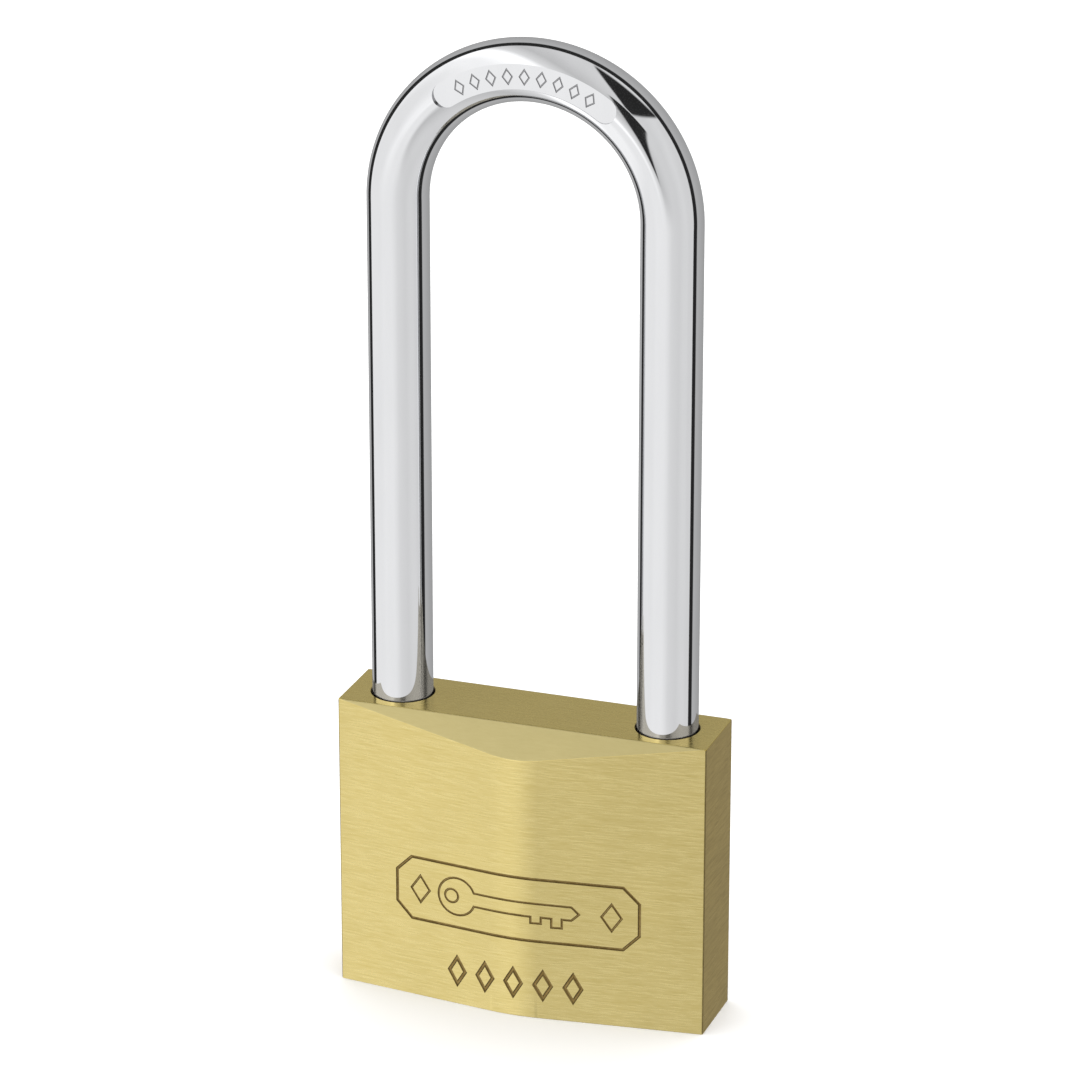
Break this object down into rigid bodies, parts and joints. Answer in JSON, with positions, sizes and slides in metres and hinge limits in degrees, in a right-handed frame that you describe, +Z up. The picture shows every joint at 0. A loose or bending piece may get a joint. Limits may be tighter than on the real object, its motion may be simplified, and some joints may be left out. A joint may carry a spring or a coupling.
{
  "type": "padlock",
  "caption": "Solid brass padlock with a long round steel shackle, bevelled ridged body, pin tumbler cylinder and two locking bolts",
  "frame": {"origin": "centre of the flat underside of the body", "axes": "+Z up through the shackle, X across the width with the captive heel leg at +X, front towards -Y"},
  "size_m": [0.04, 0.013, 0.1032],
  "materials": {
    "brass": "brushed solid brass",
    "chrome": "polished chrome plating on hardened steel",
    "steel": "plain steel, inside the lock",
    "pin_brass": "turned brass pins, inside the lock"
  },
  "bodies": {
    "case": {"lock_body": "brass", "chamber_cap_1": "brass", "chamber_cap_2": "brass", "chamber_cap_3": "brass", "chamber_cap_4": "brass", "chamber_cap_5": "brass", "cross_bore_plug": "brass", "shackle_retaining_pin": "steel", "plug_retaining_pin": "steel", "pin_spring_1": "steel", "pin_spring_2": "steel", "pin_spring_3": "steel", "pin_spring_4": "steel", "pin_spring_5": "steel", "shackle_spring": "steel"},
    "shackle": {"shackle": "chrome"},
    "plug": {"cylinder_plug": "brass", "cam_disc": "steel"},
    "bolt_left": {"locking_bolt_left": "steel", "bolt_peg_left": "steel"},
    "bolt_right": {"locking_bolt_right": "steel", "bolt_peg_right": "steel"},
    "key_pin_1": {"key_pin_1": "pin_brass"},
    "driver_1": {"driver_pin_1": "pin_brass"},
    "key_pin_2": {"key_pin_2": "pin_brass"},
    "driver_2": {"driver_pin_2": "pin_brass"},
    "key_pin_3": {"key_pin_3": "pin_brass"},
    "driver_3": {"driver_pin_3": "pin_brass"},
    "key_pin_4": {"key_pin_4": "pin_brass"},
    "driver_4": {"driver_pin_4": "pin_brass"},
    "key_pin_5": {"key_pin_5": "pin_brass"},
    "driver_5": {"driver_pin_5": "pin_brass"}
  },
  "joints": [
    {"name": "shackle_lift", "type": "slide", "parent": "case", "child": "shackle", "axis": [0, 0, 1], "range_m": [0, 0.0115], "deforming": ["shackle_spring"]},
    {"name": "plug_turn", "type": "hinge", "parent": "case", "child": "plug", "pos_m": [0, 0, 0], "axis": [0, 0, 1], "range_deg": [-90, 0]},
    {"name": "bolt_left_slide", "type": "slide", "parent": "case", "child": "bolt_left", "axis": [-1, 0, 0], "range_m": [0, 0.0022]},
    {"name": "bolt_right_slide", "type": "slide", "parent": "case", "child": "bolt_right", "axis": [1, 0, 0], "range_m": [0, 0.0022]},
    {"name": "key_pin_1_slide", "type": "slide", "parent": "plug", "child": "key_pin_1", "axis": [0, 1, 0], "range_m": [0, 0.0008]},
    {"name": "driver_1_slide", "type": "slide", "parent": "case", "child": "driver_1", "axis": [-1, 0, 0], "range_m": [0, 0.0018], "deforming": ["pin_spring_1"]},
    {"name": "key_pin_2_slide", "type": "slide", "parent": "plug", "child": "key_pin_2", "axis": [0, 1, 0], "range_m": [0, 0.0015]},
    {"name": "driver_2_slide", "type": "slide", "parent": "case", "child": "driver_2", "axis": [-1, 0, 0], "range_m": [0, 0.0018], "deforming": ["pin_spring_2"]},
    {"name": "key_pin_3_slide", "type": "slide", "parent": "plug", "child": "key_pin_3", "axis": [0, 1, 0], "range_m": [0, 0.0011]},
    {"name": "driver_3_slide", "type": "slide", "parent": "case", "child": "driver_3", "axis": [-1, 0, 0], "range_m": [0, 0.0018], "deforming": ["pin_spring_3"]},
    {"name": "key_pin_4_slide", "type": "slide", "parent": "plug", "child": "key_pin_4", "axis": [0, 1, 0], "range_m": [0, 0.0017]},
    {"name": "driver_4_slide", "type": "slide", "parent": "case", "child": "driver_4", "axis": [-1, 0, 0], "range_m": [0, 0.0018], "deforming": ["pin_spring_4"]},
    {"name": "key_pin_5_slide", "type": "slide", "parent": "plug", "child": "key_pin_5", "axis": [0, 1, 0], "range_m": [0, 0.0013]},
    {"name": "driver_5_slide", "type": "slide", "parent": "case", "child": "driver_5", "axis": [-1, 0, 0], "range_m": [0, 0.0018], "deforming": ["pin_spring_5"]}
  ],
  "couplings": [
    {"joint": "plug_turn", "follows": "bolt_left_slide", "rad_per_m": -714},
    {"joint": "bolt_right_slide", "follows": "bolt_left_slide", "ratio": 1}
  ]
}
